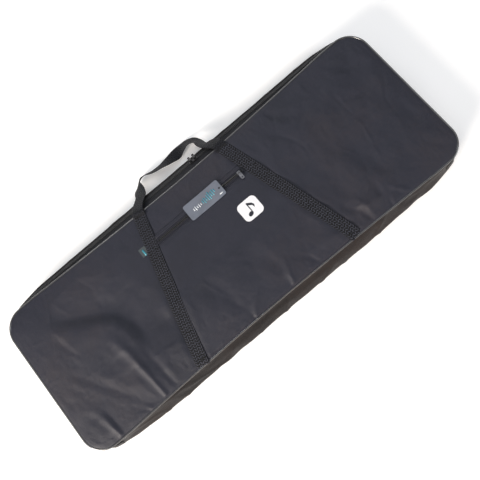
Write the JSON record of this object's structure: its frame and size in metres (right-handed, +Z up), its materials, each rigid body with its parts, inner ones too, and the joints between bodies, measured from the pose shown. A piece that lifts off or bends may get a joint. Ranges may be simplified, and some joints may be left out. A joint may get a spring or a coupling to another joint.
{
  "type": "padded gig bag",
  "caption": "Padded rectangular instrument bag with a zip-around hinged front, webbing carry handles, an outer zip pocket and a hang tag.",
  "frame": {"origin": "centre of the back panel on the plane the bag rests on when lying flat", "axes": "+X along the bag, +Y towards the carry handles and the zipped long side, +Z up through the pocket side"},
  "size_m": [1.0444, 0.469, 0.0847],
  "materials": {
    "shell": "coated nylon weave, faint satin sheen",
    "gusset": "coated nylon weave",
    "foam": "closed-cell padding",
    "lining": "soft brushed lining",
    "piping": "glossy vinyl piping",
    "binding": "woven binding tape",
    "webbing": "ribbed polypropylene webbing",
    "zip_tape": "woven zip tape",
    "zip_coil": "nylon coil teeth",
    "metal": "dark nickel plating",
    "print": "white printed vinyl",
    "label": "woven grey label with one teal stripe",
    "stitching": "dense bartack thread",
    "tag_card": "laminated blue-grey card",
    "nylon": "clear nylon fastener"
  },
  "bodies": {
    "base": {"back_cover": "shell", "back_foam": "foam", "back_lining": "lining", "back_binding": "binding", "back_piping": "piping", "back_strap_left": "webbing", "back_strap_right": "webbing", "hinge_gusset_cover": "gusset", "hinge_gusset_foam": "foam", "hinge_gusset_lining": "lining", "zip_gusset_cover": "gusset", "zip_gusset_foam": "foam", "zip_gusset_lining": "lining", "zip_tape_base": "zip_tape", "zip_coil_base": "zip_coil", "zip_end_tabs": "gusset"},
    "lid": {"front_cover": "shell", "front_foam": "foam", "front_lining": "lining", "front_binding": "binding", "front_piping": "piping", "zip_tape_lid": "zip_tape", "zip_coil_lid": "zip_coil", "pocket_panel": "shell", "pocket_zip_tape": "zip_tape", "pocket_coil": "zip_coil", "pocket_welt": "shell", "pocket_zip_stops": "metal", "front_strap_left": "webbing", "front_strap_right": "webbing", "strap_bartacks": "stitching", "emblem": "print", "side_label": "label"},
    "front_handle": {"front_handle": "webbing"},
    "back_handle": {"back_handle": "webbing"},
    "main_slider_a": {"main_slider_a": "metal"},
    "main_slider_b": {"main_slider_b": "metal"},
    "main_pull_a": {"main_pull_a": "metal"},
    "main_pull_b": {"main_pull_b": "metal"},
    "pocket_slider": {"pocket_slider": "metal"},
    "pocket_pull": {"pocket_pull": "metal"},
    "hang_tag": {"hang_tag": "tag_card", "hang_tag_loop": "nylon"}
  },
  "joints": [
    {"name": "lid_hinge", "type": "hinge", "parent": "base", "child": "lid", "pos_m": [0, -0.184, 0.07], "axis": [1, 0, 0], "range_deg": [0, 170]},
    {"name": "front_handle_swing", "type": "hinge", "parent": "lid", "child": "front_handle", "pos_m": [0, 0.184, 0.0787], "axis": [1, 0, 0], "range_deg": [0, 150]},
    {"name": "back_handle_swing", "type": "hinge", "parent": "base", "child": "back_handle", "pos_m": [0, 0.1875, 0.0013], "axis": [1, 0, 0], "range_deg": [-150, 0]},
    {"name": "main_slider_a_slide", "type": "slide", "parent": "base", "child": "main_slider_a", "axis": [-1, 0, 0], "range_m": [0, 0.49]},
    {"name": "main_slider_b_slide", "type": "slide", "parent": "base", "child": "main_slider_b", "axis": [1, 0, 0], "range_m": [0, 0.36]},
    {"name": "main_pull_a_flip", "type": "hinge", "parent": "main_slider_a", "child": "main_pull_a", "pos_m": [0.048, 0.19792, 0.06108], "axis": [1, 0, 0], "range_deg": [0, 110]},
    {"name": "main_pull_b_flip", "type": "hinge", "parent": "main_slider_b", "child": "main_pull_b", "pos_m": [0.06, 0.19792, 0.06108], "axis": [1, 0, 0], "range_deg": [0, 110]},
    {"name": "pocket_slide", "type": "slide", "parent": "lid", "child": "pocket_slider", "axis": [-1, 0, 0], "range_m": [0, 0.22]},
    {"name": "pocket_pull_flip", "type": "hinge", "parent": "pocket_slider", "child": "pocket_pull", "pos_m": [0.112, 0.0954, 0.0829], "axis": [-1, 0, 0], "range_deg": [0, 110]},
    {"name": "hang_tag_swing", "type": "hinge", "parent": "pocket_slider", "child": "hang_tag", "pos_m": [0.112, 0.0954, 0.081], "axis": [0, 0, 1], "range_deg": [-25, 25]}
  ]
}
